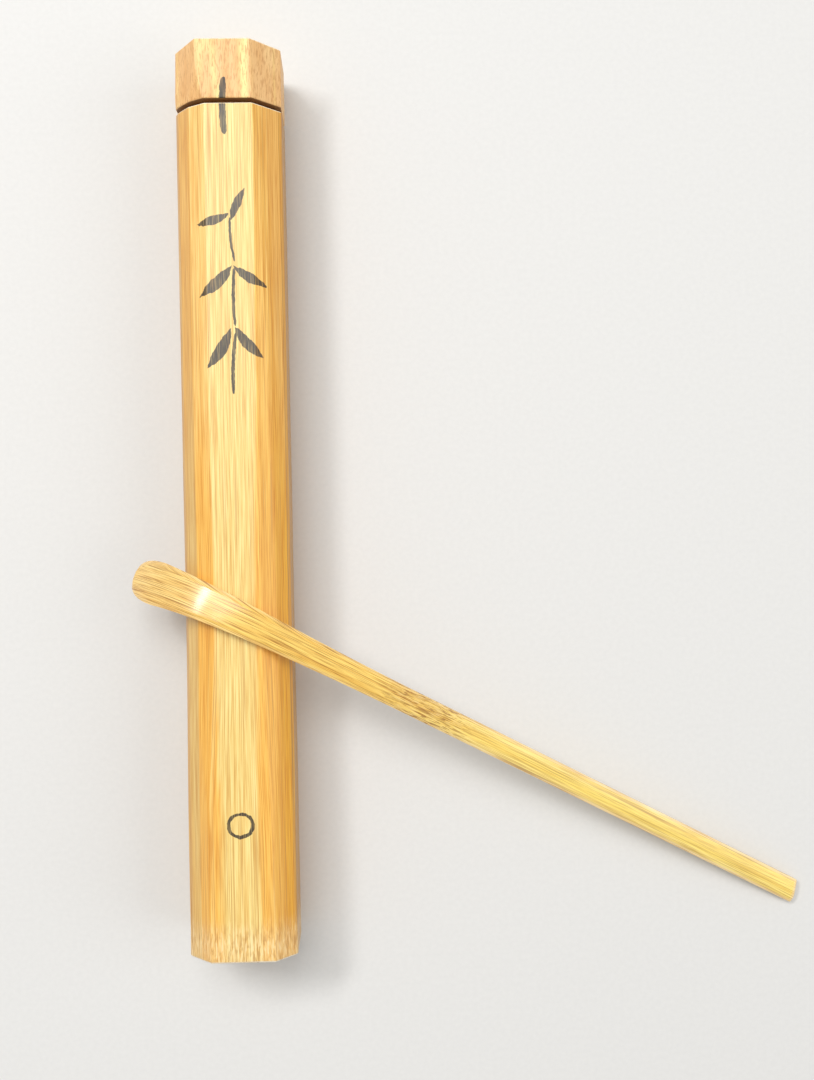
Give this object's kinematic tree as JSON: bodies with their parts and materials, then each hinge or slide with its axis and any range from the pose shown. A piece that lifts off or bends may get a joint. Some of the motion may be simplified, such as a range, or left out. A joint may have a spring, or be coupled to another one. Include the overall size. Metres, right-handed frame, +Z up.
{
  "type": "bamboo tea scoop with case",
  "caption": "Slender bent bamboo tea scoop lying across its octagonal bamboo storage tube, whose mouth is closed by a pull-out wooden stopper.",
  "frame": {"origin": "middle of the case's flat underside, half way along the case with its stopper in", "axes": "+Y along the case towards the stopper, +Z up, and +X towards the side on which the scoop's handle lies"},
  "size_m": [0.1566, 0.2032, 0.0274],
  "materials": {
    "bamboo_tube": "satin",
    "cedar_stopper": "satin",
    "bamboo_scoop": "gloss"
  },
  "bodies": {
    "tube": {"tube": "bamboo_tube"},
    "stopper": {"stopper": "cedar_stopper"},
    "tea_scoop": {"tea_scoop": "bamboo_scoop"}
  },
  "joints": [
    {"name": "stopper_slide", "type": "slide", "parent": "tube", "child": "stopper", "axis": [0, 1, 0], "range_m": [0, 0.08]},
    {"name": "scoop_lift", "type": "slide", "parent": "tube", "child": "tea_scoop", "axis": [0, 0, 1], "range_m": [0, 0.07]}
  ]
}
